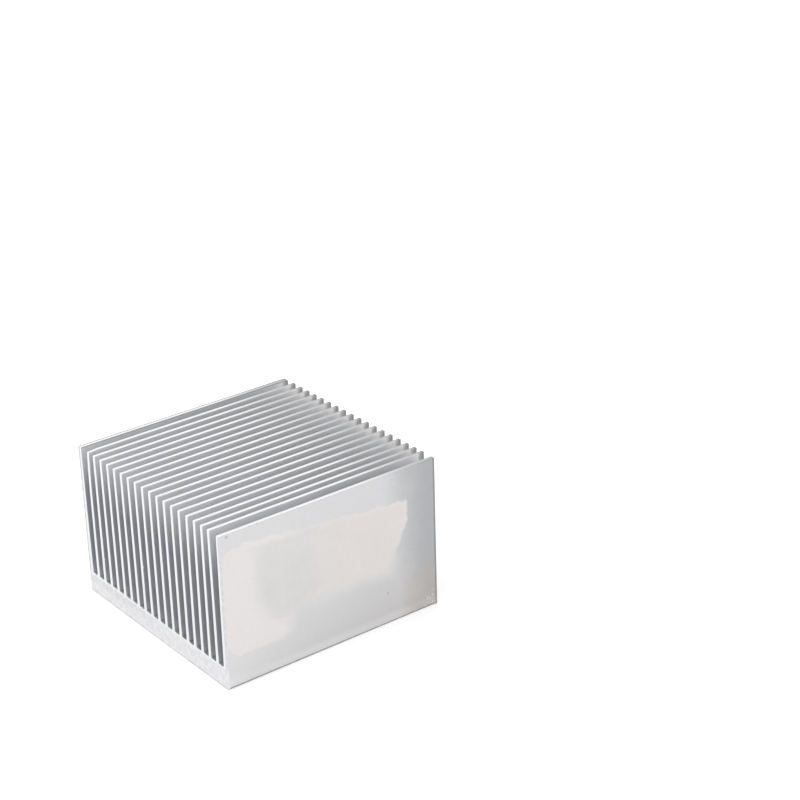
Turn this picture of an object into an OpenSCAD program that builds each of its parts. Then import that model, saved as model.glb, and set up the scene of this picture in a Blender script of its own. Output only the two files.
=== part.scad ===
// Extruded aluminium heat sink: a flat base plate with a comb of thin parallel fins.
// The comb profile is pushed through a die in one piece, sawn to length and deburred, most of all at the foot.
// Frame: origin at the centre of the underside, X across the fins, Y along the extrusion, +Z up.

/* [Body] */
// Width across the fins
body_w = 60; // [40:1:120]
// Length that the extrusion is sawn to
cut_len = 60; // [20:1:200]
// Height from the underside to the fin tips
total_h = 39; // [20:0.5:60]
// Thickness of the base plate
base_t = 5.4; // [3:0.1:10]
// Radius along the two bottom edges of the profile
base_edge_r = 0.5; // [0.1:0.1:1.5]

/* [Fins] */
// Number of fins, with the two outer ones
fin_count = 20; // [4:1:24]
// Thickness of an inner fin at its root
fin_root_t = 1; // [0.6:0.05:1.4]
// Thickness of an inner fin at its tip
fin_tip_t = 0.85; // [0.5:0.05:1.2]
// Thickness of an outer fin at its root
outer_root_t = 1.75; // [1:0.05:3]
// Thickness of an outer fin at its tip
outer_tip_t = 1.15; // [0.8:0.05:2]
// Fillet radius on both sides of each slot floor
root_r = 0.45; // [0.1:0.05:0.8]
// Radius of the corners of each fin tip
tip_r = 0.15; // [0.05:0.05:0.4]

/* [Sawn ends] */
// Chamfer under each sawn end, along the base plate's edge
foot_chamfer = 0.4; // [0.1:0.05:1]
// Chamfer up both sides of each sawn end
side_chamfer = 0.25; // [0.05:0.05:0.8]
// Chamfer that deburring leaves across the fin tips at each sawn end
tip_chamfer = 0.1; // [0.05:0.05:0.5]

/* [Hidden] */

// Straight steps in each rounded corner of the profile
arc_steps = 4;
// Largest share of a slot or a fin tip that one corner's radius may take
corner_share = 0.45;

last_fin = fin_count - 1;
half_w = body_w / 2;
// The slots share what the fins leave free between the two outer fins
slot_w = (body_w - 2 * outer_root_t - (fin_count - 2) * fin_root_t) / last_fin;
pitch = slot_w + fin_root_t;
inner_tip_r = min(tip_r, corner_share * fin_tip_t);
outer_tip_r = min(tip_r, corner_share * outer_tip_t);
slot_r = min(root_r, corner_share * slot_w);

// Left and right face of a fin, as [left, right], for its thickness at one height
function inner_faces(i, t) = let (middle = (i - last_fin / 2) * pitch) [middle - t / 2, middle + t / 2];
function fin_faces(i, inner_t, outer_t) =
    i == 0 ? [-half_w, outer_t - half_w]
    : i == last_fin ? [half_w - outer_t, half_w]
    : inner_faces(i, inner_t);

// Corners of one fin, from its right root over the tip to its left root, each as [point, radius]
function fin_corners(i) =
    let (
        root = fin_faces(i, fin_root_t, outer_root_t),
        tip = fin_faces(i, fin_tip_t, outer_tip_t),
        r = i == 0 || i == last_fin ? outer_tip_r : inner_tip_r
    )
    [
        if (i < last_fin) [[root[1], base_t], slot_r],
        [[tip[1], total_h], r],
        [[tip[0], total_h], r],
        if (i > 0) [[root[0], base_t], slot_r],
    ];

// Sharp corners of the whole comb, anticlockwise, each as [point, radius]
function comb_corners() = [
    [[-half_w, 0], base_edge_r],
    [[half_w, 0], base_edge_r],
    for (i = [last_fin:-1:0]) each fin_corners(i),
];

// Arc of radius r that rounds corner b between the lines to a and to c
function corner_arc(a, b, c, r) =
    let (
        to_a = (a - b) / norm(a - b),
        to_c = (c - b) / norm(c - b),
        half_angle = acos(to_a * to_c) / 2,
        centre = b + (to_a + to_c) / norm(to_a + to_c) * r / sin(half_angle),
        start = b + to_a * r / tan(half_angle) - centre,
        sweep = -sign(cross(to_a, to_c)) * (180 - 2 * half_angle)
    )
    [
        for (step = [0:arc_steps])
            let (turn = sweep * step / arc_steps)
            centre + [start.x * cos(turn) - start.y * sin(turn), start.x * sin(turn) + start.y * cos(turn)]
    ];

// Outline with every corner rounded by its own radius
function rounded(corners) =
    let (n = len(corners))
    [
        for (i = [0:n - 1])
            each corner_arc(corners[(i + n - 1) % n][0], corners[i][0], corners[(i + 1) % n][0], corners[i][1])
    ];

// The comb pushed out along Y
module extrusion() {
    rotate([90, 0, 0])
        linear_extrude(height = cut_len, center = true)
            polygon(rounded(comb_corners()));
}

// Bar on edge whose corner takes a chamfer off an edge that runs along X
module edge_cutter(edge_len, chamfer) {
    side = chamfer * sqrt(2);
    rotate([45, 0, 0]) cube([edge_len + 2 * side, side, side], center = true);
}

// The four outer edges of one sawn end, as cutters
module end_deburr() {
    edge_cutter(body_w, foot_chamfer);
    translate([0, 0, total_h]) edge_cutter(body_w, tip_chamfer);
    for (x = [-half_w, half_w])
        translate([x, 0, total_h / 2]) rotate([0, 90, 0]) edge_cutter(total_h, side_chamfer);
}

module heat_sink() {
    color([0.82, 0.83, 0.84])
        difference() {
            extrusion();
            for (y = [-cut_len / 2, cut_len / 2])
                translate([0, y, 0]) end_deburr();
        }
}

heat_sink();
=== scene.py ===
"""Extruded aluminium heat sink: the comb body, the burrs that the saw left on it, its finish and its stage.

The file is laid out as an add-on and is run as a script. Lengths are in metres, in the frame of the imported
part: the origin is the centre of the underside, X runs across the fins, Y along the extrusion and +Z is up.
"""
import math

import bpy
from bpy.props import FloatProperty, FloatVectorProperty, IntProperty, PointerProperty
from mathutils import Matrix, Vector


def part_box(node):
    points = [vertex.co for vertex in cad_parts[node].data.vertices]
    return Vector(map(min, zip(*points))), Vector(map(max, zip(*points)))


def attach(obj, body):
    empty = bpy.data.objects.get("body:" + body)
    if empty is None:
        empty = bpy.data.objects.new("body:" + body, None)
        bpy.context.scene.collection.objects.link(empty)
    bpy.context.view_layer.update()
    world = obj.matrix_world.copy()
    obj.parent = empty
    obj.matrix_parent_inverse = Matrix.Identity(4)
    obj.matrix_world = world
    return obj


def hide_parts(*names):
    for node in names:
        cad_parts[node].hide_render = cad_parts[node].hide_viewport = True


bl_info = {
    "name": "Extruded heat sink",
    "version": (1, 0, 0),
    "blender": (4, 5, 0),
    "location": "3D View > Sidebar > Heat sink",
    "description": "Builds a finned aluminium extrusion with sawn ends, its mill finish and a plain stage",
    "category": "Object",
}

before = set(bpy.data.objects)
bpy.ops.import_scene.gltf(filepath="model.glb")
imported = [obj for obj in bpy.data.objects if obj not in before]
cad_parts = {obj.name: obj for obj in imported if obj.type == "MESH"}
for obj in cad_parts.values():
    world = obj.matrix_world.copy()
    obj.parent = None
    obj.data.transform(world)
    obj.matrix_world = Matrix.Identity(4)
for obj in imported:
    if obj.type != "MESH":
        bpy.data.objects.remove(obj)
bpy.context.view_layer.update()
CAD_NODE = "heat_sink"
BODY = "root"
MM = 0.001

part_low, part_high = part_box(CAD_NODE)


# ---------------------------------------------------------------- sizes and colours that a user may change


def length(name, description, default):
    """A length that a user may change"""
    return FloatProperty(name=name, description=description, default=default, unit="LENGTH")


def colour(name, description, default):
    """A colour that a user may change, as linear values"""
    return FloatVectorProperty(name=name, description=description, default=default, subtype="COLOR")


class HeatSinkSizes(bpy.types.PropertyGroup):
    """Sizes of the comb profile and of the sawn length"""

    width: length("Width", "Width across the fins", part_high.x - part_low.x)
    length: length("Length", "Length between the sawn ends", part_high.y - part_low.y)
    height: length("Height", "Underside to fin tips", part_high.z - part_low.z)
    base: length("Base", "Thickness of the base plate", 0.0054)
    fins: IntProperty(name="Fins", description="Number of fins, with the two outer ones", default=20, min=3)
    root: length("Root", "Thickness of an inner fin at its root", 0.001)
    tip: length("Tip", "Thickness of an inner fin at its tip", 0.00085)
    outer_root: length("Outer root", "Thickness of an outer fin at its root", 0.00167)
    outer_tip: length("Outer tip", "Thickness of an outer fin at its tip", 0.0013)
    root_radius: length("Root radius", "Fillet at the bottom of each slot", 0.00045)
    tip_radius: length("Tip radius", "Rounding of each fin tip's corners", 0.00015)
    outer_tip_radius: length("Outer tip radius", "Rounding of an outer fin's tip towards its slot", 0.0005)
    edge_radius: length("Edge radius", "Rounding of the base plate's two long edges", 0.0005)
    foot_chamfer: length("Foot chamfer", "Chamfer under each sawn end", 0.00015)
    side_chamfer: length("Side chamfer", "Chamfer up the sides of the sawn ends", 0.00025)
    tip_chamfer: length("Tip chamfer", "Chamfer across the fin tips at each sawn end", 0.0001)


class HeatSinkWear(bpy.types.PropertyGroup):
    """How far the thin fins stray from true, and what the saw left behind"""

    lean: length("Lean", "How far the tip of the fin that leans most stands off", 0.00026)
    wave: length("Wave", "Waviness of the fin tips along the extrusion", 0.00004)
    knock: length("Knock", "Bend of the corner of the second fin", 0.0004)
    worn_corner: length("Worn corner", "Rounding of the outer fins' corners at the far end", 0.0006)
    broken_edge: length("Broken edge", "Fine bevel along every sawn edge", 0.00006)
    burr: length("Burr", "Size of the largest stray burrs", 0.00016)
    burr_density: FloatProperty(
        name="Burrs per square millimetre", description="Density of burrs in the band beside a sawn edge",
        default=0.2,
    )
    seed: IntProperty(name="Seed", description="Seed of the burrs", default=4)


class HeatSinkFinish(bpy.types.PropertyGroup):
    """Colours of the bare metal and of the light and shade painted on it, as linear values"""

    mill: colour("Mill finish", "Skin of the extrusion", (0.655, 0.655, 0.664))
    # oxide: grey oxide, and where a plain side greys towards its far end, partly a painted reflection of
    # darker surroundings
    oxide: colour("Grey oxide", "Darker skin towards one end of a plain side", (0.405, 0.415, 0.43))
    dirt: colour("Ingrained dirt", "Warm grey of the darker skin near the base", (0.44, 0.415, 0.4))
    bloom: colour("Dried bloom", "Film left by a dried liquid", (0.68, 0.666, 0.661))
    stain: colour("Warm bloom", "The same film where it dried last", (0.708, 0.674, 0.655))
    rim: colour("Pale bloom", "Thick end of the film", (0.735, 0.715, 0.71))
    wall: colour("Slot walls", "Skin between the fins", (0.8, 0.805, 0.825))
    # chalk: a painted highlight on the walls near the far sawn end
    far_wall_highlight: colour("Painted wall highlight", "Paler skin of the walls near the far end", (0.925, 0.92, 0.91))
    # dull: painted shade, blue-grey, deep in the near end of the slots
    slot_shade: colour(
        "Painted slot shade", "Blue-grey skin of the walls deep in the near end of a slot", (0.28, 0.298, 0.352)
    )
    # scorch: painted shade, beside the far sawn end on the walls and tips, and on a strip of the left outer
    # fin's tip
    painted_shade: colour("Painted shade", "Dull strip of the walls beside the far sawn end", (0.395, 0.395, 0.4))
    # worn: a painted highlight, on the fin tips, on the lip under the foot's line and on the slot floors at
    # the near sawn end
    worn: colour("Painted highlight", "Highlight painted on the fin tips, the foot's lip and the slot floors", (0.96, 0.96, 0.965))
    sawn: colour("Sawn metal", "Cut faces", (0.69, 0.69, 0.7))
    # bright: a painted highlight on the cut faces of the inner fins
    bright: colour("Painted cut highlight", "Cut face beside its edges", (0.76, 0.76, 0.77))
    # grime: mostly painted shade, along the foot, up the far end, on the left outer fin's edge and in the
    # slot roots; also the dark of the nicks
    shade_and_grime: colour("Shade and grime", "Painted shade along the lower edges and slot roots, and the dark of the nicks", (0.22, 0.225, 0.225))


class HeatSinkStage(bpy.types.PropertyGroup):
    """Camera and light"""

    lens: FloatProperty(name="Lens", description="Focal length in millimetres", default=96.65)
    azimuth: FloatProperty(
        name="Azimuth", description="Turn of the camera round the part, from the near sawn end",
        default=math.radians(52.62), subtype="ANGLE",
    )
    elevation: FloatProperty(
        name="Elevation", description="Camera's downward tilt", default=math.radians(24.53), subtype="ANGLE"
    )
    roll: FloatProperty(
        name="Roll", description="Camera's roll", default=math.radians(1.59), subtype="ANGLE"
    )
    place: FloatVectorProperty(
        name="Camera", description="Where the camera stands",
        subtype="XYZ", unit="LENGTH", default=(0.38048, -0.24746, 0.25773),
    )
    world_light: FloatProperty(
        name="World light", description="Strength of the even light all round", default=0.85
    )


# ---------------------------------------------------------------- node trees written as expressions


class Term:
    """A node's output socket that takes part in Python arithmetic"""

    def __init__(self, tree, socket):
        self.tree = tree
        self.socket = socket

    def other(self, name):
        """Another output of the same node"""
        return Term(self.tree, enabled(self.socket.node.outputs, name))

    def __add__(self, value):
        return self.tree.maths("ADD", self, value)

    def __radd__(self, value):
        return self.tree.maths("ADD", value, self)

    def __sub__(self, value):
        return self.tree.maths("SUBTRACT", self, value)

    def __rsub__(self, value):
        return self.tree.maths("SUBTRACT", value, self)

    def __mul__(self, value):
        return self.tree.maths("MULTIPLY", self, value)

    def __rmul__(self, value):
        return self.tree.maths("MULTIPLY", value, self)

    def __truediv__(self, value):
        return self.tree.maths("DIVIDE", self, value)

    def __rtruediv__(self, value):
        return self.tree.maths("DIVIDE", value, self)

    def __pow__(self, value):
        return self.tree.maths("POWER", self, value)

    def __mod__(self, value):
        return self.tree.maths("FLOORED_MODULO", self, value)

    def __gt__(self, value):
        return self.tree.maths("GREATER_THAN", self, value)

    def __lt__(self, value):
        return self.tree.maths("LESS_THAN", self, value)


def enabled(sockets, name):
    """The socket in use of that name or place, because a node can have several of one name"""
    if isinstance(name, int):
        return [s for s in sockets if s.enabled][name]
    return next(s for s in sockets if s.name == name and s.enabled)


class Tree:
    """Adds nodes to a node tree"""

    def __init__(self, node_tree):
        self.made = node_tree

    def add(self, kind, settings=None, sockets=None, out=0):
        """Adds a node: its settings first, then the values or links of its sockets. Returns one output"""
        node = self.made.nodes.new(kind)
        for name, value in (settings or {}).items():
            setattr(node, name, value)
        for name, value in (sockets or {}).items():
            self.feed(enabled(node.inputs, name), value)
        used = [s for s in node.outputs if s.enabled]
        return Term(self, enabled(node.outputs, out)) if used else node

    def feed(self, socket, value):
        """Links a Term to a socket, or sets the socket's own value"""
        for one in value if isinstance(value, list) else [value]:
            if isinstance(one, Term):
                self.made.links.new(one.socket, socket)
            else:
                socket.default_value = one

    def maths(self, operation, *values):
        return self.add("ShaderNodeMath", {"operation": operation}, dict(enumerate(values)))

    def low(self, a, b):
        return self.maths("MINIMUM", a, b)

    def high(self, a, b):
        return self.maths("MAXIMUM", a, b)

    def floor(self, a):
        return self.maths("FLOOR", a)

    def magnitude(self, a):
        return self.maths("ABSOLUTE", a)

    def wave(self, a):
        return self.maths("SINE", a)

    def root(self, a):
        return self.maths("SQRT", a)

    def blend(self, share, a, b):
        """a where share is 0 and b where it is 1"""
        return a + (b - a) * share

    def ramp(self, value, start, end):
        """Smooth step from 0 at start to 1 at end"""
        return self.add(
            "ShaderNodeMapRange", {"interpolation_type": "SMOOTHSTEP", "clamp": True},
            {"Value": value, "From Min": start, "From Max": end, "To Min": 0.0, "To Max": 1.0},
        )

    def vector(self, x=0.0, y=0.0, z=0.0):
        return self.add("ShaderNodeCombineXYZ", None, {"X": x, "Y": y, "Z": z})

    def parts(self, vector):
        """x, y and z of a vector"""
        x = self.add("ShaderNodeSeparateXYZ", None, {0: vector})
        return x, x.other("Y"), x.other("Z")

    def scaled(self, vector, by):
        return self.add("ShaderNodeVectorMath", {"operation": "SCALE"}, {0: vector, "Scale": by})

    def stretched(self, vector, by):
        """A vector with each of its parts scaled by its own number"""
        return self.add("ShaderNodeVectorMath", {"operation": "MULTIPLY"}, {0: vector, 1: by})

    def moved(self, geometry, position):
        """Geometry with its points at the given position"""
        return self.add("GeometryNodeSetPosition", None, {"Geometry": geometry, "Position": position})

    def noise(self, vector, scale=1.0, detail=2.0, roughness=0.5, distortion=0.0, out="Fac"):
        settings = {"Scale": scale, "Detail": detail, "Roughness": roughness, "Distortion": distortion}
        return self.add("ShaderNodeTexNoise", None, {"Vector": vector, **settings}, out)


# ---------------------------------------------------------------- meshes grown by Geometry Nodes


SOCKET_KINDS = {
    float: "NodeSocketFloat",
    int: "NodeSocketInt",
    bpy.types.Material: "NodeSocketMaterial",
}


def emptied(owner):
    """The node tree of a new material or world, with no nodes in it"""
    owner.use_nodes = True
    owner.node_tree.nodes.clear()
    return Tree(owner.node_tree)


def growing_tree(name, inputs):
    """A new Geometry Nodes tree with named inputs, its geometry input and its inputs as terms"""
    node_tree = bpy.data.node_groups.new(name, "GeometryNodeTree")
    node_tree.interface.new_socket("Geometry", in_out="OUTPUT", socket_type="NodeSocketGeometry")
    node_tree.interface.new_socket("Geometry", in_out="INPUT", socket_type="NodeSocketGeometry")
    for label, value in inputs.items():
        node_tree.interface.new_socket(label, in_out="INPUT", socket_type=SOCKET_KINDS[type(value)])
    tree = Tree(node_tree)
    entry = tree.add("NodeGroupInput")
    return tree, entry, {label: entry.other(label) for label in inputs}


def ends_in(tree, geometry, material, second=None, where=None):
    """Closes a tree with Realize Instances and Set Material, and sets a second material where it is told"""
    real = tree.add("GeometryNodeRealizeInstances", None, {"Geometry": geometry})
    painted = tree.add("GeometryNodeSetMaterial", None, {"Geometry": real, "Material": material})
    if second:
        painted = tree.add(
            "GeometryNodeSetMaterial", None, {"Geometry": painted, "Selection": where, "Material": second}
        )
    tree.add("NodeGroupOutput", None, {"Geometry": painted})


def named(group, *keys):
    """The values of some of a group's properties, each under the property's own name"""
    return {group.bl_rna.properties[key].name: getattr(group, key) for key in keys}


def placed(name, data):
    """A new object in the scene that holds the data"""
    obj = bpy.data.objects.new(name, data)
    bpy.context.scene.collection.objects.link(obj)
    return obj


def made_plain(piece):
    """Turns what a piece's modifiers make into its own mesh, and removes them"""
    bpy.context.view_layer.update()
    mesh = bpy.data.meshes.new_from_object(piece.evaluated_get(bpy.context.evaluated_depsgraph_get()))
    piece.modifiers.clear()
    old = piece.data
    piece.data = mesh
    bpy.data.meshes.remove(old)
    mesh.name = piece.name
    return mesh


def grown(name, tree, inputs, start=None):
    """The plain mesh object that a tree grows, from an empty mesh or from a copy of start's mesh"""
    piece = placed(name, start.data.copy() if start else bpy.data.meshes.new(name))
    modifier = piece.modifiers.new(name, "NODES")
    modifier.node_group = tree.made
    for item in tree.made.interface.items_tree:
        if item.in_out == "INPUT" and item.name in inputs:
            modifier[item.identifier] = inputs[item.name]
    mesh = made_plain(piece)
    for place in reversed(range(len(mesh.materials))):
        if mesh.materials[place] is None:
            mesh.materials.pop(index=place)
    if not mesh.polygons:
        raise RuntimeError(f"{name} grew no faces")
    return piece


def level_normals(piece):
    """Lets the large faces set the shading, so that a narrow bevel doesn't bend the light on a flat wall"""
    piece.modifiers.new("level", "WEIGHTED_NORMAL").keep_sharp = True
    made_plain(piece)


def finished(piece):
    """Puts a finished piece on the part's body"""
    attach(piece, BODY)
    return piece


# ---------------------------------------------------------------- the comb body

BODY_PIECE = "comb_body"
SKIN = "mill skin"
SAWN = "sawn metal"
INWARD = "inward"  # attribute: the way into the profile at each of its points
MERGE = 1e-7  # points closer than this become one
CREASE = math.radians(60)  # faces that meet at more than this keep a crease between them
END_FACING = 0.5  # a face whose normal leans further than this along Y belongs to a sawn end
WALL_STEPS = 8  # steps up each fin wall, closer together near its root and its tip
ARC_STEPS = 3  # steps in each rounded corner of the profile
LENGTH_STEPS = 96  # steps along the extrusion, closer together near the sawn ends
OUTER_CORNER = 2  # rounding of the outer fins' outer corners, as a multiple of Broken edge
EDGE_CELLS = 900  # cells per metre in the unevenness of the broken edges
LEANS = ((15.7, 2.0, 1.0), (5.4, 3.8, -0.84), (18.0, 0.7, -1.0))  # fin, spread in fins, share of Lean
DRIFT_CELLS = (3.7, 45.0, 25.0)  # a slow wave of the tips: cells per fin, per metre along and per metre up
RIPPLE_CELLS = (9.1, 160.0, 30.0)  # a quicker one
DRIFT_SHARE = 4  # the slow wave's size over the quick one's
BEND_POWER = 1.6  # lean and waves grow up a fin by this power of its height
KNOCKED_FIN = 1  # the fin whose near corner is bent, counted from 0
KNOCK_REACH = 0.003  # how far along the tip the bend runs
KNOCK_POWER = 9  # the bend grows up the fin by this power of its height


def fin_pitch(size):
    """Distance between the middles of two neighbouring inner fins"""
    slots = size["Width"] - 2 * size["Outer root"] - (size["Fins"] - 2) * size["Root"]
    return slots / (size["Fins"] - 1) + size["Root"]


def comb_profile(tree, size):
    """The comb's outline as a closed curve in the XY plane: X across the fins, Y up"""
    per_side = WALL_STEPS + 1
    per_fin = 2 * per_side
    last = size["Fins"] - 1
    line = tree.add("GeometryNodeMeshLine", None, {"Count": size["Fins"] * per_fin})
    index = tree.add("GeometryNodeInputIndex")
    fin = tree.floor(index / per_fin)
    step = index % per_fin
    falling = step > WALL_STEPS + 0.5  # 0 on a fin's left wall, which climbs, and 1 on its right one
    climb = tree.blend(falling, step, per_fin - 1 - step) / WALL_STEPS
    share = 0.5 - 0.5 * tree.maths("COSINE", climb * math.pi)

    first_fin = fin < 0.5
    last_fin = fin > last - 0.5
    outer_fin = first_fin + last_fin
    outer_wall = first_fin * (1 - falling) + last_fin * falling
    floor_height = size["Base"] * (1 - outer_wall)
    up = tree.blend(share, floor_height, size["Height"])

    centre = (fin - last / 2) * fin_pitch(size)
    side = 2 * falling - 1
    inner_across = centre + side * tree.blend(share, size["Root"], size["Tip"]) / 2
    outward = last_fin - first_fin
    thick = tree.blend(share, size["Outer root"], size["Outer tip"]) * (1 - outer_wall)
    outer_across = outward * (size["Width"] / 2 - thick)
    across = tree.blend(outer_fin, inner_across, outer_across)
    outline = tree.moved(line, tree.vector(across, up))
    curve = tree.add("GeometryNodeMeshToCurve", None, {"Mesh": outline})
    closed = tree.add("GeometryNodeSetSplineCyclic", None, {"Geometry": curve, "Cyclic": True})
    at_tip = climb > 1 - 0.5 / WALL_STEPS
    at_root = climb < 0.5 / WALL_STEPS
    root_corner = tree.blend(outer_wall, size["Root radius"], size["Edge radius"])
    slot_corner = tree.blend(first_fin, size["Outer tip radius"], size["Tip radius"])
    outer_corner = tree.blend(outer_wall, slot_corner, size["Broken edge"] * OUTER_CORNER)
    tip_corner = tree.blend(outer_fin, size["Tip radius"], outer_corner)
    return tree.add(
        "GeometryNodeFilletCurve", {"mode": "POLY"},
        {"Curve": closed, "Count": ARC_STEPS, "Limit Radius": True,
         "Radius": at_tip * tip_corner + at_root * root_corner},
    )


def swept(tree, profile, size):
    """The profile swept along the extrusion, with its two ends closed"""
    steps = tree.add("GeometryNodeMeshLine", None, {"Count": LENGTH_STEPS + 1})
    share = tree.add("GeometryNodeInputIndex") / LENGTH_STEPS
    along = tree.wave((share - 0.5) * math.pi) * size["Length"] / 2
    spaced = tree.moved(steps, tree.vector(0.0, 0.0, along))
    path = tree.add("GeometryNodeMeshToCurve", None, {"Mesh": spaced})
    return tree.add(
        "GeometryNodeCurveToMesh", None, {"Curve": path, "Profile Curve": profile, "Fill Caps": True}
    )


def strayed(tree, x, y, z, size):
    """How far each point of a fin strays across the slots: a lean, two waves and one bent corner"""
    last = size["Fins"] - 1
    fin = tree.floor(x / fin_pitch(size) + last / 2 + 0.5)
    rise = tree.high((z - size["Base"]) / (size["Height"] - size["Base"]), 0.0)
    lean = 0.0
    for middle, spread, share in LEANS:
        off = (fin - middle) / spread
        lean = lean + share * tree.maths("EXPONENT", off * off * -1)
    drift, ripple = (
        tree.noise(tree.vector(fin * per_fin, y * along, z * up), detail=1.0) - 0.5
        for per_fin, along, up in (DRIFT_CELLS, RIPPLE_CELLS)
    )
    bend = lean * size["Lean"] + size["Wave"] * (DRIFT_SHARE * drift + ripple)
    near_corner = tree.ramp(y, KNOCK_REACH - size["Length"] / 2, size["Length"] / -2)
    knocked = (tree.magnitude(fin - KNOCKED_FIN) < 0.5) * near_corner
    free = (fin > 0.5) * (fin < last - 0.5)
    return free * (rise ** BEND_POWER * bend + rise ** KNOCK_POWER * knocked * size["Knock"])


def trimmed(tree, tube, size):
    """The swept tube laid along Y, with a fine break on every sawn edge, chamfered ends and strayed fins"""
    across, up, along = tree.parts(tree.add("GeometryNodeInputPosition"))
    to_end = size["Length"] / 2 - tree.magnitude(along)
    chamfers = ("Foot chamfer", "Side chamfer", "Tip chamfer")
    foot, side, tip = (tree.high(size[name] - to_end, 0.0) for name in chamfers)
    worn = size["Worn corner"]
    past = tree.high(worn - to_end, 0.0)
    drop = worn - tree.root(worn * worn - past * past)
    outer_fin = tree.magnitude(across) > size["Width"] / 2 - size["Outer root"]
    unchamfered = (across < 0.0) * (along < 0.0)
    half = size["Width"] / 2 - side * (1 - unchamfered)
    top = size["Height"] - tree.high(tip, drop * outer_fin * (along > 0.0))

    cells = tree.vector(across * EDGE_CELLS, along * EDGE_CELLS, up * EDGE_CELLS)
    uneven = tree.noise(cells, detail=1.0) + 0.5
    broken = tree.high(size["Broken edge"] * uneven - to_end, 0.0)
    inward = tree.add("GeometryNodeInputNamedAttribute", {"data_type": "FLOAT_VECTOR"}, {"Name": INWARD})
    in_x, in_up, _ = tree.parts(inward)
    x = tree.low(tree.high(across + in_x * broken, 0 - half), half)
    z = tree.low(tree.high(up + in_up * broken, foot), top)
    return tree.moved(tube, tree.vector(x + strayed(tree, x, along, z, size), along, z))


def shaded(tree, mesh):
    """Smooth faces that keep a crease where two of them meet sharply"""
    angle = tree.add("GeometryNodeInputMeshEdgeAngle")
    smooth = tree.add(
        "GeometryNodeSetShadeSmooth", {"domain": "FACE"}, {"Geometry": mesh, "Shade Smooth": True}
    )
    return tree.add(
        "GeometryNodeSetShadeSmooth", {"domain": "EDGE"},
        {"Geometry": smooth, "Selection": angle > CREASE, "Shade Smooth": False},
    )


def comb_tree(inputs):
    """Sweeps the comb profile, bends the fins a little and takes the edge off the sawn ends"""
    tree, _, size = growing_tree("comb extrusion", inputs)
    normal = tree.add("GeometryNodeInputNormal")
    profile = tree.add(
        "GeometryNodeStoreNamedAttribute", {"data_type": "FLOAT_VECTOR", "domain": "POINT"},
        {"Geometry": comb_profile(tree, size), "Name": INWARD, "Value": normal},
    )
    laid = trimmed(tree, swept(tree, profile, size), size)
    bare = tree.add("GeometryNodeRemoveAttribute", None, {"Geometry": laid, "Name": INWARD})
    merged = tree.add("GeometryNodeMergeByDistance", None, {"Geometry": bare, "Distance": MERGE})
    _, facing, _ = tree.parts(tree.add("GeometryNodeInputNormal"))
    at_end = tree.magnitude(facing) > END_FACING
    ends_in(tree, shaded(tree, merged), size["Skin"], size["Sawn"], at_end)
    return tree


class HEATSINK_OT_body(bpy.types.Operator):
    """Build the comb body with its broken edges and slightly wavy fins"""

    bl_idname = "heatsink.body"
    bl_label = "Heat sink body"

    def execute(self, context):
        scene = context.scene
        sizes, finish = scene.heatsink_sizes, scene.heatsink_finish
        inputs = {
            **named(sizes, *sizes.__annotations__),
            **named(scene.heatsink_wear, "worn_corner", "broken_edge", "lean", "wave", "knock"),
            "Skin": mill_skin(finish, sizes),
            "Sawn": sawn_metal(finish, sizes),
        }
        body = grown(BODY_PIECE, comb_tree(inputs), inputs)
        level_normals(body)
        finished(body)
        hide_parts(CAD_NODE)
        return {"FINISHED"}


# ---------------------------------------------------------------- the burrs

BURR_BAND = (0.00003, 0.00028)  # nearest and furthest distance of a burr's root from the sawn face
BURR_FACING = 0.3  # burrs root only where the normal leans less than this along the extrusion
BURR_STRETCH = ((0.4, 0.4, 0.5), (1.6, 1.0, 1.0))  # least and greatest stretch of a burr on its own axes
LEAST_BURR = 0.15  # size of the smallest burr, as a share of Burr
BURR_POWER = 5  # the higher, the rarer large burrs are
TORN_CELLS = 9000  # cells per metre in the tearing of a burr's surface
TORN_SHARE = 0.6  # how far the tearing moves that surface, as a share of Burr
STRAY_BURRS = (  # fin, height and size of each large one
    (8, 0.0172, 0.0003),
    (2, 0.0118, 0.00028),
    (15, 0.0345, 0.0002),
)
STRAY_SHAPE = (1.0, 0.45, 0.4)  # a large burr's extent on each axis, as a share of its size


def strewn_burrs(tree, surface, size, grain):
    """Small torn slivers, strewn in a narrow band beside the sawn edges"""
    _, y, _ = tree.parts(tree.add("GeometryNodeInputPosition"))
    _, facing, _ = tree.parts(tree.add("GeometryNodeInputNormal"))
    to_end = size["Length"] / 2 - tree.magnitude(y)
    near, far = BURR_BAND
    band = (to_end > near) * (to_end < far) * (tree.magnitude(facing) < BURR_FACING)
    strewn = tree.add(
        "GeometryNodeDistributePointsOnFaces", {"distribute_method": "RANDOM"},
        {"Mesh": surface, "Selection": band, "Density": size["Density"], "Seed": size["Seed"]},
    )
    chance = tree.add(
        "FunctionNodeRandomValue", {"data_type": "FLOAT"}, {"Min": 0.0, "Max": 1.0, "Seed": size["Seed"]}
    )
    least, most = BURR_STRETCH
    stretch = tree.add(
        "FunctionNodeRandomValue", {"data_type": "FLOAT_VECTOR"},
        {"Min": least, "Max": most, "Seed": size["Seed"] + 1},
    )
    reach = size["Burr"] * (LEAST_BURR + (1 - LEAST_BURR) * chance ** BURR_POWER)
    return tree.add(
        "GeometryNodeInstanceOnPoints", None,
        {"Points": strewn, "Instance": grain, "Rotation": strewn.other("Rotation"),
         "Scale": tree.scaled(stretch, reach)},
    )


def stray_burr(tree, size, grain, fin, height, reach):
    """One large burr on the right wall of a fin, at the near sawn end"""
    across = (fin - (size["Fins"] - 1) / 2) * fin_pitch(size) + size["Root"] / 2
    place = tree.vector(across, reach * 0.5 - size["Length"] / 2, height)
    point = tree.add("GeometryNodePoints", None, {"Count": 1, "Position": place})
    return tree.add(
        "GeometryNodeInstanceOnPoints", None,
        {"Points": point, "Instance": grain, "Scale": tuple(reach * share for share in STRAY_SHAPE)},
    )


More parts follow.
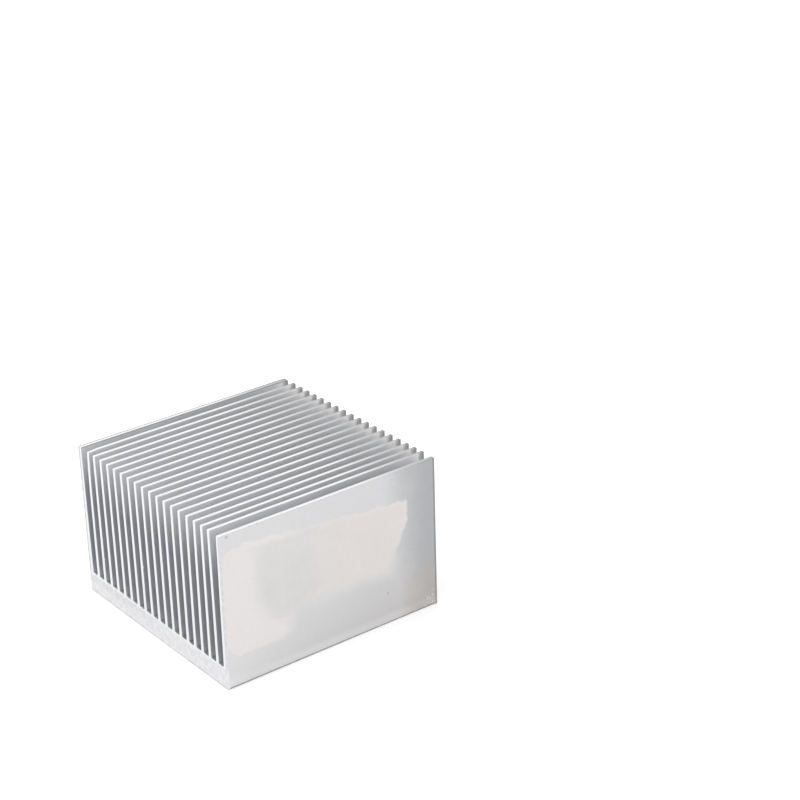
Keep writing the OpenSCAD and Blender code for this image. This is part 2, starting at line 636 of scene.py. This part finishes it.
def burr_tree(inputs):
    """Strews burrs along the sawn edges with a few larger ones, and keeps them all in the part's box"""
    tree, surface, size = growing_tree("saw burrs", inputs)
    grain = tree.add("GeometryNodeMeshIcoSphere", None, {"Radius": 1.0, "Subdivisions": 2})
    small = strewn_burrs(tree, surface, size, grain)
    large = [stray_burr(tree, size, grain, *burr) for burr in STRAY_BURRS]
    joined = tree.add("GeometryNodeJoinGeometry", None, {"Geometry": [small, *large]})
    real = tree.add("GeometryNodeRealizeInstances", None, {"Geometry": joined})
    torn = tree.noise(tree.add("GeometryNodeInputPosition"), scale=TORN_CELLS, detail=1.0, out="Color")
    either_way = tree.add("ShaderNodeVectorMath", {"operation": "SUBTRACT"}, {0: torn, 1: (0.5, 0.5, 0.5)})
    jitter = tree.scaled(either_way, size["Burr"] * TORN_SHARE)
    rough = tree.add("GeometryNodeSetPosition", None, {"Geometry": real, "Offset": jitter})
    x, y, z = tree.parts(tree.add("GeometryNodeInputPosition"))
    half_x, half_y = size["Width"] / 2, size["Length"] / 2
    kept = tree.vector(
        tree.low(tree.high(x, 0 - half_x), half_x),
        tree.low(tree.high(y, 0 - half_y), half_y),
        tree.low(tree.high(z, 0.0), size["Height"]),
    )
    ends_in(tree, tree.moved(rough, kept), size["Sawn"])
    return tree


class HEATSINK_OT_burrs(bpy.types.Operator):
    """Strew the burrs that sawing left along the cut edges of the comb body"""

    bl_idname = "heatsink.burrs"
    bl_label = "Saw burrs"

    def execute(self, context):
        body = bpy.data.objects.get(BODY_PIECE)
        if body is None:
            raise RuntimeError("build the comb body before its burrs")
        sizes, wear = context.scene.heatsink_sizes, context.scene.heatsink_wear
        inputs = {
            **named(sizes, "width", "length", "height", "fins", "root", "outer_root"),
            **named(wear, "burr", "seed"),
            "Density": wear.burr_density / MM ** 2,
            "Sawn": bpy.data.materials[SAWN],
        }
        finished(grown("saw_burrs", burr_tree(inputs), inputs, start=body))
        return {"FINISHED"}


# ---------------------------------------------------------------- finishes
#
# Places are in millimetres. A band is a pair: a change starts at its first place and is complete at its
# second. A patch is a rounded rectangle on a plain side: its middle along and up, its half sizes and its
# corner radius.


def bare_metal(name):
    """A new material with a Principled shader: its tree, its shader node and the place in millimetres"""
    material = bpy.data.materials.new(name)
    tree = emptied(material)
    shader = tree.add("ShaderNodeBsdfPrincipled", None, {"Metallic": 1.0})
    tree.add("ShaderNodeOutputMaterial", None, {"Surface": shader})
    place = tree.scaled(tree.add("ShaderNodeTexCoord", None, None, "Object"), 1 / MM)
    return material, tree, shader.socket.node, place


def covered(tree, shader, depth, relief, **feeds):
    """Feeds the shader's sockets, with a bump of that depth in metres under its Normal"""
    feeds["Normal"] = tree.add("ShaderNodeBump", None, {"Strength": 1.0, "Distance": depth, "Height": relief})
    for name, value in feeds.items():
        tree.feed(enabled(shader.inputs, name.replace("_", " ")), value)


def tinted(tree, share, colour_a, colour_b):
    """colour_a where share is 0 and colour_b where it is 1"""
    a, b = (c if isinstance(c, Term) else (*c, 1.0) for c in (colour_a, colour_b))
    return tree.add("ShaderNodeMix", {"data_type": "RGBA"}, {"Factor": share, "A": a, "B": b}, "Result")


def dimmed(tree, colour, by):
    """A colour times a grey"""
    return tree.scaled(colour, by)


def in_patch(tree, u, v, centre, half, corner):
    """Distance in millimetres from a patch's edge, negative inside"""
    over_u = tree.magnitude(u - centre[0]) - (half[0] - corner)
    over_v = tree.magnitude(v - centre[1]) - (half[1] - corner)
    out_u, out_v = tree.high(over_u, 0.0), tree.high(over_v, 0.0)
    return tree.root(out_u * out_u + out_v * out_v) + tree.low(tree.high(over_u, over_v), 0.0) - corner


def scratches(tree, u, v, angle, seed, sparse):
    """Thin marks about 10 mm long that run at an angle in the u, v plane"""
    c, s = math.cos(angle), math.sin(angle)
    lane = tree.noise(tree.vector((u * c + v * s) * 0.09, (v * c - u * s) * 3.1, seed), detail=0.0)
    return tree.ramp(lane, sparse, sparse + 0.05)


def stepped(tree, value, start_tone, steps):
    """A tone that changes in each of several bands, each step given as its band and its change"""
    return sum((change * tree.ramp(value, *band) for band, change in steps), start_tone)


OUTLINE_WANDER = 2.6  # how far the film's outline wanders
TONE_WANDER = 5  # how far the broad changes of tone wander
GREY_END = (41.0, 58.5)  # band along a plain side in which its skin turns grey, partly grey oxide and partly a painted reflection of darker surroundings
GREY_HINT = ((16.0, 48.0), 0.1)  # a fainter greying before it, and its share
DIRTY = (18.0, 6.0)  # band down a plain side in which the grey turns warm with dirt
LOW = (19.0, 9.0)  # band down a plain side in which it darkens
LOW_FROM, LOW_LENGTH = 5.0, 105  # along: where that darkening begins, and the length that would make it whole
FOOT = ((1.6, 0.9), 0.07)  # band of darker skin just over the foot, and its share

FILM = ((25.8, 24.75), (25.6, 10.5), 4.5)  # patch: the body of the film
FILM_NEAR_END = ((9.2, 21.2), (9.4, 13.6), 5.0)  # patch: its taller near end
FILM_FALL, FILM_HINGE = 0.1, 30  # slope of its upper edge, and where along that edge's height is read
FILM_TOP = 32.9  # height of its upper edge
FILM_FAR_END = (0.882, 0.471, 33.4)  # its slanting far end: along less up, each by its factor, reaches this
FILM_CRISP, FILM_SOFT = 0.4, 2.2  # width of its crisp edge, and how much wider the soft part is
SOFT_HEIGHT, SOFT_ALONG = (21.0, 15.0), (12.0, 20.0)  # bands in which the edge turns soft
FILM_THIN = ((39.0, 40.5), (31.0, 30.0), 12.0)  # patch: where the film is thin, and outside it is pale
THIN_TOP, THIN_RISE = 31.7, 2.5  # height at which the pale part starts again, and how fast it grows
PALE_EDGE, PALE_ALONG = (-3.2, 1.2), (25.0, 17.0)  # bands in which the film turns pale
RIM_INSET, RIM_WIDTH, RIM_HEIGHT = 0.5, (0.7, 0.0), (22.0, 28.0)  # the pale rim inside its upper edge
RIM_SHARE = 0.4
CLOUD = ((18.0, 22.0), (8.0, 8.0), 7.0)  # patch: a darker cloud in the film
CLOUD_EDGE, CLOUD_SHARE, MOTTLE_SHARE = (3.0, -3.0), 0.07, 0.25
WARM_FILM = (18.0, 38.0)  # band along in which the film turns warm
LEFT_FILM = (17, -7, 0.5)  # how far the left side's film stands off along and up, and how much fainter it is

CHALKY_SPECKS = ((43.2, 37.3), (5.5, 1.6), 1.5)  # patch of specks under the tips
CRUSTED_SPECKS = ((57.8, 2.4), (2.2, 2.2), 1.2)  # patch of specks at the far foot
CHALKY_EDGE, CRUSTED_EDGE = (1.8, -1.8), (0.9, -0.9)
SPECK_CUT = (0.54, 0.62)  # noise values at which specks start and are whole
SPECK_SHARE = 0.5
NICKS = (  # along, below the tips and size of each
    (1.9, 0.7, 0.42),
    (9.95, 0.1, 0.28),
    (45.2, 30.6, 0.3),
)
NICK_CORE = 0.3  # share of a nick's area that is fully dark
NICK_SHARE = 0.42


def film_on_side(tree, u, v, mottle):
    """Where the film lies, and how much of it is pale or cloudy"""
    sloped = v + FILM_FALL * (u - FILM_HINGE)
    film = tree.high(in_patch(tree, u, v, *FILM), sloped - FILM_TOP)
    by_u, by_v, reach = FILM_FAR_END
    film = tree.high(film, u * by_u - v * by_v - reach)
    film = tree.low(film, in_patch(tree, u, v, *FILM_NEAR_END))
    soft = FILM_CRISP + FILM_SOFT * tree.ramp(v, *SOFT_HEIGHT) * tree.ramp(u, *SOFT_ALONG)
    core = tree.high(in_patch(tree, u, v, *FILM_THIN), (sloped - THIN_TOP) * THIN_RISE)
    pale = tree.ramp(core, *PALE_EDGE) * tree.ramp(u, *PALE_ALONG)
    rim = tree.ramp(tree.magnitude(film + RIM_INSET), *RIM_WIDTH) * tree.ramp(v, *RIM_HEIGHT)
    cloudy = tree.ramp(in_patch(tree, u, v, *CLOUD), *CLOUD_EDGE) * CLOUD_SHARE
    cloudy = cloudy + (mottle - 0.5) * MOTTLE_SHARE
    return tree.ramp(film / soft, 1.0, -1.0), tree.high(pale, rim * RIM_SHARE), cloudy


def nicked(tree, along, below_tips):
    """Small dark nicks in a plain side"""
    nicks = 0.0
    for nick_along, nick_below, reach in NICKS:
        off_u, off_w = along - nick_along, below_tips - nick_below
        from_middle = off_u * off_u + off_w * off_w
        nicks = tree.high(nicks, tree.ramp(from_middle, reach * reach, reach * reach * NICK_CORE))
    return nicks


def side_colour(tree, finish, place, sizes):
    """Colour of a plain side: skin that greys towards the far end, partly oxide and partly a painted
    reflection, under the film that a dried liquid left
    """
    x, y, z = tree.parts(place)
    left = x < 0.0
    warp = tree.noise(tree.scaled(place, 0.25), detail=4.0, roughness=0.62, out="Color")
    warp_u, warp_v, mottle = tree.parts(warp)
    along = y + sizes.length / MM / 2
    shift_u, shift_v, fainter = LEFT_FILM
    u = along + (warp_u - 0.5) * OUTLINE_WANDER + shift_u * left
    v = z + (warp_v - 0.5) * OUTLINE_WANDER + shift_v * left
    drift = (mottle - 0.5) * TONE_WANDER

    hint_band, hint_share = GREY_HINT
    foot_band, foot_share = FOOT
    hint = tree.ramp(along + drift, *hint_band) * hint_share
    greyed = tree.high(tree.ramp(along + drift, *GREY_END), hint)
    low_side = tree.ramp(z + drift, *LOW) * tree.high((along - LOW_FROM) / LOW_LENGTH, 0.0)
    foot = tree.ramp(z + drift * 0.15, *foot_band) * foot_share
    aged = tinted(tree, tree.ramp(z + drift, *DIRTY), finish.oxide, finish.dirt)
    skin = tinted(tree, tree.low(tree.high(greyed, low_side) + foot, 1.0), finish.mill, aged)

    film, pale, cloudy = film_on_side(tree, u, v, mottle)
    film = film * (1 - fainter * left)
    bloom = tinted(tree, tree.ramp(along + drift, *WARM_FILM), finish.bloom, finish.stain)
    bloom = tinted(tree, cloudy, bloom, finish.oxide)
    bloom = tinted(tree, pale, bloom, finish.rim)
    marked = tinted(tree, film, skin, bloom)

    specks = tree.ramp(tree.noise(place, scale=1.5, detail=3.0), *SPECK_CUT) * SPECK_SHARE * (1 - left)
    chalky = tree.ramp(in_patch(tree, u, v, *CHALKY_SPECKS), *CHALKY_EDGE)
    crusted = tree.ramp(in_patch(tree, u, v, *CRUSTED_SPECKS), *CRUSTED_EDGE)
    marked = tinted(tree, specks * tree.high(chalky, crusted), marked, finish.rim)
    nicks = nicked(tree, along, sizes.height / MM - z)
    return tinted(tree, nicks * (1 - left) * NICK_SHARE, marked, finish.shade_and_grime), film


WALL_TONE = 0.97
WALL_TONES = (  # bands along the walls, from the middle of the length, and the change of tone in each: painted light and shade
    ((-12.0, 8.0), -0.07),
    ((18.0, 24.0), 0.05),
    ((-25.5, -28.0), -0.05),
)
WALL_UNEVEN = 0.9  # how far the bands on the walls wander
FAR_WALL_HIGHLIGHT = ((25.2, 27.6), 0.8)  # band of painted highlight on the walls near the far end, and its share
SLOT_SHADE_END = (2.6, 1.8)  # band from the near end in which the walls carry painted shade
SLOT_SHADE_DEPTH = (1.0, 14.0)  # band below the tips in which that painted shade grows darker
SLOT_SHADE_FLOOR = (4.5, 0.6)  # band over the slots' floor in which they get brighter again
SLOT_SHADE_SHARES = (0.1, 0.52, 0.2)  # of the painted shade's colour: at the tips, added deep down, taken off by the floor
FAR_WALL_SHADE = (2.1, 1.0)  # band from the far end in which the walls carry painted shade
ROOT_SHADE = ((0.45, 0.2), 0.7)  # band over the slots' floor that carries painted shade, and its share
ROOT_EDGE_HIGHLIGHT = (0.15, 0.05)  # band over the slots' floor where the near end carries a painted highlight
NEAR_LIP, LIP_ACROSS = (0.45, 0.2), (8.0, -18.0)  # bands from the near end and across in which that highlight lies


def wall_colour(tree, finish, place, sizes, mottle):
    """Colour between the fins: painted shade, blue-grey, deep in the near end, and a painted highlight and
    then painted shade at the far one
    """
    x, y, z = tree.parts(place)
    half_l = sizes.length / MM / 2
    below_tips = sizes.height / MM - z
    over_floor = z - sizes.base / MM
    uneven = (mottle - 0.5) * WALL_UNEVEN
    to_end = half_l - tree.magnitude(y) + uneven
    far = y > 0.0
    highlight_band, highlight_share = FAR_WALL_HIGHLIGHT
    root_shade_band, root_shade_share = ROOT_SHADE
    at_tips, deep_down, by_floor = SLOT_SHADE_SHARES

    wall = dimmed(tree, finish.wall, stepped(tree, y, WALL_TONE, WALL_TONES))
    wall = tinted(tree, tree.ramp(y + uneven, *highlight_band) * highlight_share, wall, finish.far_wall_highlight)
    deep = at_tips + deep_down * tree.ramp(below_tips, *SLOT_SHADE_DEPTH)
    deep = deep - by_floor * tree.ramp(over_floor, *SLOT_SHADE_FLOOR)
    wall = tinted(tree, (1 - far) * tree.ramp(to_end, *SLOT_SHADE_END) * deep, wall, finish.slot_shade)
    wall = tinted(tree, far * tree.ramp(to_end, *FAR_WALL_SHADE), wall, finish.painted_shade)
    near_lip = tree.ramp(y + half_l, *NEAR_LIP) * tree.ramp(x, *LIP_ACROSS)
    root_shade = tree.ramp(over_floor, *root_shade_band) * (1 - near_lip) * root_shade_share
    wall = tinted(tree, root_shade, wall, finish.shade_and_grime)
    # painted highlight on the slot floors at the near sawn edge
    return tinted(tree, tree.ramp(over_floor, *ROOT_EDGE_HIGHLIGHT) * near_lip, wall, finish.worn)


LINE_CELLS = (5.0, 0.05, 5.0)  # die lines: noise cells per millimetre across, along and up
FINE_CELLS = (28.0, 0.3, 28.0)  # finer lines between them
CLOUD_CELLS = (0.09, 0.07, 0.09)  # broad clouds in the skin
OUTSIDE = 0.7  # skin closer than this to a plain side belongs to it
UNDER = 0.05  # skin lower than this belongs to the underside
TIP_HIGHLIGHT_BAND = (0.08, 0.03)  # band below the tips that carries a painted highlight
TIP_HIGHLIGHT_INSET = (0.03, 0.12)  # band in from a plain side before the painted highlight starts
LEFT_HEM = 0.23  # how much further in it starts on the left outer fin
TIP_HIGHLIGHT_FADE = ((4.0, 28.0), 0.4)  # band along in which the painted highlight on the tips grows darker, and by how much
TIP_FAR_SHADE = ((1.9, 1.2), 0.4)  # band from the far end in which the tips carry painted shade, and its share
LEFT_TIP_SHADE = ((1.08, 1.16), 1.4, (0.3, 0.15))  # bands in and below the left outer fin's tip that carry painted shade
FOOT_LINE = ((0.75, 0.6), (0.3, 0.4), 0.95)  # dark line of painted shade along the foot's rounded edge: upper band, lower band and share
END_LINE = ((0.82, 0.66), (0.22, 0.38), 0.7)  # dark line of painted shade up the far end: inner band, outer band and share
ROLLED = ((0.34, 0.27), (0.35, 0.2), 0.85)  # painted shade on the left outer fin's rolled edge: bands in and below, share
FOOT_LIP = ((0.4, 0.3), 0.8)  # painted highlight on the lip under the foot's line, and its share
FAR_SHADE_UNEVEN, FOOT_UNEVEN, END_UNEVEN = 0.9, 0.3, 0.2  # how far those edges wander
LONG_SCRATCHES = (math.radians(-12), 3.0, 0.76)  # angle, seed and sparseness
SHORT_SCRATCHES = (math.radians(38), 7.0, 0.8)
PIT_CELLS, PIT_SIZE, PIT_SHARE = 0.3, 0.05, 0.09
FOOT_SHEEN = ((3.6, 1.4), 0.06, (-28.0, 0.0), 0.08)  # a paler strip over the foot, paler still along a band
SKIN_TONE = 0.985
LINE_SHARES, FINE_SHARES = (0.05, 0.13), (0.05, 0.1)  # the lines' strength everywhere, and added in slots
MOTTLE_TONE, SCRATCH_TONE = 0.09, 0.015
PLAIN_METALLIC, SLOT_METALLIC_LOSS = 0.75, 0.45
SKIN_ROUGHNESS = 0.46
ROUGH_CLOUD, ROUGH_LINES, ROUGH_FILM, SMOOTH_SCRATCH = 0.16, 0.1, 0.08, 0.04
SKIN_BUMP = 4e-6  # depth of the skin's relief, in metres
RELIEF_LINES, RELIEF_FINE, RELIEF_SCRATCH = 0.7, 0.3, 0.3  # shares of that depth


def skin_light_and_shade(tree, finish, place, sizes, colour, mottle, tip, outside, under):
    """The skin with a painted highlight on its tips and on the lip under its foot, painted shade on its far
    tips and the left outer fin's tip, and thin lines of painted shade along its outer edges
    """
    x, y, z = tree.parts(place)
    to_side = sizes.width / MM / 2 - tree.magnitude(x)
    to_end = sizes.length / MM / 2 - tree.magnitude(y)
    below_tips = sizes.height / MM - z
    far, left = y > 0.0, x < 0.0
    uneven = mottle - 0.5

    # painted shade on a strip of the left outer fin's tip
    dull_from, dull_to, dull_below = LEFT_TIP_SHADE
    dull_strip = tree.ramp(to_side, *dull_from) * (to_side < dull_to)
    left_tip_shade = left * dull_strip * tree.ramp(below_tips, *dull_below)
    # the painted highlight on the fin tips, fading along them
    fade, fade_share = TIP_HIGHLIGHT_FADE
    tip_highlight = dimmed(tree, finish.worn, 1 - fade_share * tree.ramp(y, *fade))
    # painted shade on the tips beside the far sawn end
    far_shade_band, far_shade_share = TIP_FAR_SHADE
    far_tip_shade = far * tree.ramp(to_end + uneven * FAR_SHADE_UNEVEN, *far_shade_band) * far_shade_share
    tip_highlight = tinted(tree, far_tip_shade, tip_highlight, finish.painted_shade)
    colour = tinted(tree, left_tip_shade, tinted(tree, tip, colour, tip_highlight), finish.painted_shade)

    above, below, line_share = FOOT_LINE
    foot_line = outside * tree.ramp(z + uneven * FOOT_UNEVEN, *above) * tree.ramp(z, *below) * line_share
    inner, outer, end_share = END_LINE
    end_line = far * tree.ramp(to_end + uneven * END_UNEVEN, *inner) * tree.ramp(to_end, *outer) * end_share
    roll_in, roll_below, roll_share = ROLLED
    rolled = left * tree.ramp(to_side, *roll_in) * tree.ramp(below_tips, *roll_below)
    # painted highlight on the lip under the foot's line
    lip, lip_share = FOOT_LIP
    bright_lip = outside * (1 - under) * tree.ramp(z, *lip) * lip_share
    colour = tinted(tree, bright_lip, colour, finish.worn)
    colour = tinted(tree, tree.high(tree.high(foot_line, end_line), rolled), colour, finish.shade_and_grime)
    return dimmed(tree, colour, 1 - roll_share * rolled)


def mill_skin(finish, sizes):
    """The extrusion's skin: die lines along its length, a film on the plain sides and a painted highlight on
    the fin tips
    """
    material, tree, shader, place = bare_metal(SKIN)
    x, y, z = tree.parts(place)
    to_side = sizes.width / MM / 2 - tree.magnitude(x)
    lines = tree.noise(tree.stretched(place, LINE_CELLS), detail=4.0, roughness=0.65)
    fine = tree.noise(tree.stretched(place, FINE_CELLS), detail=2.0)
    cloud = tree.noise(tree.stretched(place, CLOUD_CELLS), detail=4.0, distortion=0.8)
    mottle = tree.noise(place, scale=0.8, detail=5.0, roughness=0.7)

    outside = to_side < OUTSIDE
    under = z < UNDER
    inner = (1 - outside) * (1 - under)
    colour, film = side_colour(tree, finish, place, sizes)
    colour = tinted(tree, inner, colour, wall_colour(tree, finish, place, sizes, mottle))
    colour = tinted(tree, under, colour, tinted(tree, cloud, finish.mill, finish.oxide))
    hem = LEFT_HEM * (x < 0.0)
    tip = tree.ramp(sizes.height / MM - z, *TIP_HIGHLIGHT_BAND) * tree.ramp(to_side - hem, *TIP_HIGHLIGHT_INSET)
    colour = skin_light_and_shade(tree, finish, place, sizes, colour, mottle, tip, outside, under)

    mark = tree.high(
        scratches(tree, y, z, *LONG_SCRATCHES), scratches(tree, y, z + x, *SHORT_SCRATCHES)
    )
    cells = tree.add("ShaderNodeTexVoronoi", None, {"Vector": place, "Scale": PIT_CELLS}, "Distance")
    pits = cells < PIT_SIZE
    tone = SKIN_TONE + MOTTLE_TONE * (mottle - 0.5) + SCRATCH_TONE * mark - PIT_SHARE * pits * outside
    for pattern, (everywhere, in_slots) in ((lines, LINE_SHARES), (fine, FINE_SHARES)):
        tone = tone + (everywhere + in_slots * inner) * (pattern - 0.5)
    strip, strip_tone, far_part, far_tone = FOOT_SHEEN
    tone = tone + outside * tree.ramp(z, *strip) * (strip_tone + far_tone * tree.ramp(y, *far_part))
    metallic = PLAIN_METALLIC - SLOT_METALLIC_LOSS * inner * (1 - tip)
    rough = SKIN_ROUGHNESS + ROUGH_CLOUD * (cloud - 0.5) + ROUGH_LINES * (lines - 0.5)
    rough = rough + ROUGH_FILM * film * outside - SMOOTH_SCRATCH * mark
    relief = lines * RELIEF_LINES + fine * RELIEF_FINE - mark * RELIEF_SCRATCH - pits
    colour = dimmed(tree, colour, tone)
    covered(tree, shader, SKIN_BUMP, relief, Base_Color=colour, Metallic=metallic, Roughness=rough)
    return material


BLADE_HUB = (-95, -60)  # the saw blade's middle, across and up
ARC_CELLS, FINE_ARC_CELLS = (3.2, 0.2, 0.04), (16, 1, 0.2)  # cells outwards from the hub, along and round it
EDGE_HIGHLIGHT_BAND = (-0.5, -0.2)  # band over the slots' floor where the cut face carries a painted highlight
EDGE_HIGHLIGHT_INSET = (0.6, 0.95)  # band in from the plain sides where it does
FOOT_STREAK = (0.3, 0.014, (0.35, 0.05), 0.15)  # a grey streak: height, slope on the left half, band, share
FOOT_EDGE = ((0.22, 0.16), 0.7, 0.006)  # band of painted shade along the foot, its share, and its change across
FAR_EDGE = ((0.35, 0.2), 0.8)  # band of painted shade down the far end's outer edges, and its share
UPPER_LEFT = ((4.0, -12.0), (2.0, 4.2), 0.08)  # bands across and up where the base is darker, and its share
OUTER_EDGE = ((0.8, 0.55), (-1.0, 0.5), 0.12)  # bands in and over the slots' floor where it is darker, share
ARC_TONE, FINE_ARC_TONE, PLAIN_MOTTLE, BRIGHT_MOTTLE = 0.06, 0.04, 0.6, 0.1
SAWN_ROUGHNESS, ROUGH_ARCS, ROUGH_MOTTLE = 0.48, 0.15, 0.1
SAWN_BUMP = 7e-6  # depth of the saw's marks, in metres
FINE_RELIEF = 0.4  # share of that depth in the finer arcs


def sawn_metal(finish, sizes):
    """The sawn ends: shallow arcs that the blade's teeth left, with a painted highlight between the slots"""
    material, tree, shader, place = bare_metal(SAWN)
    x, y, z = tree.parts(place)
    from_hub_x, from_hub_z = x - BLADE_HUB[0], z - BLADE_HUB[1]
    sweep = tree.root(from_hub_x * from_hub_x + from_hub_z * from_hub_z)
    swung = tree.vector(sweep, y, x - z)
    arcs = tree.noise(tree.stretched(swung, ARC_CELLS), detail=3.0, roughness=0.7)
    fine = tree.noise(tree.stretched(swung, FINE_ARC_CELLS), detail=1.0)
    mottle = tree.noise(place, scale=0.7, detail=5.0, roughness=0.65)
    to_side = sizes.width / MM / 2 - tree.magnitude(x)
    over_floor = z - sizes.base / MM

    bright = tree.ramp(over_floor, *EDGE_HIGHLIGHT_BAND) * tree.ramp(to_side, *EDGE_HIGHLIGHT_INSET)
    colour = tinted(tree, bright, finish.sawn, finish.bright)
    height, slope, band, share = FOOT_STREAK
    streak = tree.ramp(tree.magnitude(z - height - slope * tree.high(0 - x, 0.0)), *band) * share
    band, share, across = FOOT_EDGE
    foot = streak + tree.ramp(z, *band) * (share + across * x)
    band, share = FAR_EDGE
    far_edge = (y > 0.0) * tree.ramp(to_side, *band) * share
    colour = tinted(tree, tree.high(foot, far_edge), colour, finish.shade_and_grime)

    across, up, upper_share = UPPER_LEFT
    upper = tree.ramp(x, *across) * tree.ramp(z, *up) * (1 - bright)
    inset, over, outer_share = OUTER_EDGE
    outer = tree.ramp(to_side, *inset) * tree.ramp(over_floor, *over)
    tone = 1 - upper_share * upper - outer_share * outer
    tone = tone + ARC_TONE * (arcs - 0.5) + FINE_ARC_TONE * (fine - 0.5)
    tone = tone + tree.blend(bright, PLAIN_MOTTLE, BRIGHT_MOTTLE) * (mottle - 0.5)
    rough = SAWN_ROUGHNESS + ROUGH_ARCS * (arcs - 0.5) + ROUGH_MOTTLE * (mottle - 0.5)
    relief = arcs + fine * FINE_RELIEF
    covered(tree, shader, SAWN_BUMP, relief, Base_Color=dimmed(tree, colour, tone), Roughness=rough)
    return material


# ---------------------------------------------------------------- the stage

FLOOR_SIDE = 8.0  # metres
FLOOR_GREY = (0.88, 0.88, 0.88)
FLOOR_GLOW = 0.22  # added where the floor is seen, so that it shows white
SOFTBOXES = (  # name, turn and height in degrees, distance and side in metres, power in watts
    ("softbox_front", -20, 42, 0.45, 0.35, 0.5),
    ("softbox_top", 30, 78, 1.2, 0.9, 4.5),
)


def floor_material():
    """A pale floor that shows white to the camera and in reflections, and keeps the part's shadow"""
    material = bpy.data.materials.new("floor")
    tree = emptied(material)
    ray = tree.add("ShaderNodeLightPath", None, None, "Is Camera Ray")
    seen = tree.low(ray + ray.other("Is Glossy Ray") + ray.other("Is Transmission Ray"), 1.0)
    matt = tree.add("ShaderNodeBsdfDiffuse", None, {"Color": (*FLOOR_GREY, 1.0)})
    glow = tree.add("ShaderNodeEmission", None, {"Strength": seen * FLOOR_GLOW})
    both = tree.add("ShaderNodeAddShader", None, {0: matt, 1: glow})
    tree.add("ShaderNodeOutputMaterial", None, {"Surface": both})
    return material


def lay_floor():
    """A large flat floor at the part's foot, which belongs to the stage"""
    reach = FLOOR_SIDE / 2
    corners = [(-reach, -reach, 0), (reach, -reach, 0), (reach, reach, 0), (-reach, reach, 0)]
    mesh = bpy.data.meshes.new("floor")
    mesh.from_pydata(corners, [], [(0, 1, 2, 3)])
    mesh.materials.append(floor_material())
    floor = placed("floor", mesh)


def white_room(light):
    """A world that shows white to the camera and lights the part evenly at the given strength"""
    world = bpy.data.worlds.new("white room")
    tree = emptied(world)
    ray = tree.add("ShaderNodeLightPath", None, None, "Is Camera Ray")
    room = tree.blend(ray, light, 1.0)
    sky = tree.add("ShaderNodeBackground", None, {"Color": (1.0, 1.0, 1.0, 1.0), "Strength": room})
    tree.add("ShaderNodeOutputWorld", None, {"Surface": sky})
    bpy.context.scene.world = world


def softbox(name, turn, height, distance, side, power, target):
    """A square lamp at a turn from the near sawn end and a height in degrees, facing the part"""
    turn, height = math.radians(turn), math.radians(height)
    away = Vector((math.sin(turn) * math.cos(height), -math.cos(turn) * math.cos(height), math.sin(height)))
    lamp = bpy.data.lights.new(name, "AREA")
    lamp.shape = "SQUARE"
    lamp.size = side
    lamp.energy = power
    obj = placed(name, lamp)
    obj.location = target + away * distance
    obj.rotation_mode = "QUATERNION"
    obj.rotation_quaternion = (-away).to_track_quat("-Z", "Y")


def camera(stage):
    """The camera at its place, turned by its azimuth, elevation and roll"""
    data = bpy.data.cameras.new("camera")
    data.lens = stage.lens
    obj = placed("camera", data)
    turn = Matrix.Rotation(stage.azimuth, 4, "Z")
    tilt = Matrix.Rotation(math.pi / 2 - stage.elevation, 4, "X")
    roll = Matrix.Rotation(-stage.roll, 4, "Z")
    obj.matrix_world = Matrix.Translation(Vector(stage.place)) @ turn @ tilt @ roll
    bpy.context.scene.camera = obj


class HEATSINK_OT_stage(bpy.types.Operator):
    """Set the floor, the soft light and the camera"""

    bl_idname = "heatsink.stage"
    bl_label = "Stage"

    def execute(self, context):
        stage = context.scene.heatsink_stage
        context.scene.view_settings.view_transform = "Standard"
        lay_floor()
        white_room(stage.world_light)
        for lamp in SOFTBOXES:
            softbox(*lamp, (part_low + part_high) / 2)
        camera(stage)
        return {"FINISHED"}


# ---------------------------------------------------------------- the add-on


class HEATSINK_PT_panel(bpy.types.Panel):
    """Lists the steps that build the heat sink"""

    bl_idname = "HEATSINK_PT_panel"
    bl_label = "Heat sink"
    bl_space_type = "VIEW_3D"
    bl_region_type = "UI"
    bl_category = "Heat sink"

    def draw(self, context):
        layout = self.layout
        for group in GROUPS:
            box = layout.box()
            settings = getattr(context.scene, group)
            for name in settings.__annotations__:
                box.prop(settings, name)
        for step in STEPS:
            layout.operator(step.bl_idname)


GROUPS = {
    "heatsink_sizes": HeatSinkSizes,
    "heatsink_wear": HeatSinkWear,
    "heatsink_finish": HeatSinkFinish,
    "heatsink_stage": HeatSinkStage,
}
STEPS = (HEATSINK_OT_body, HEATSINK_OT_burrs, HEATSINK_OT_stage)


def register():
    for made in (*GROUPS.values(), *STEPS, HEATSINK_PT_panel):
        bpy.utils.register_class(made)
    for name, group in GROUPS.items():
        setattr(bpy.types.Scene, name, PointerProperty(type=group))


def unregister():
    for name in GROUPS:
        delattr(bpy.types.Scene, name)
    for made in (HEATSINK_PT_panel, *reversed(STEPS), *reversed(GROUPS.values())):
        bpy.utils.unregister_class(made)


def main():
    register()
    bpy.ops.heatsink.body()
    bpy.ops.heatsink.burrs()
    bpy.ops.heatsink.stage()


if __name__ == "__main__":
    main()
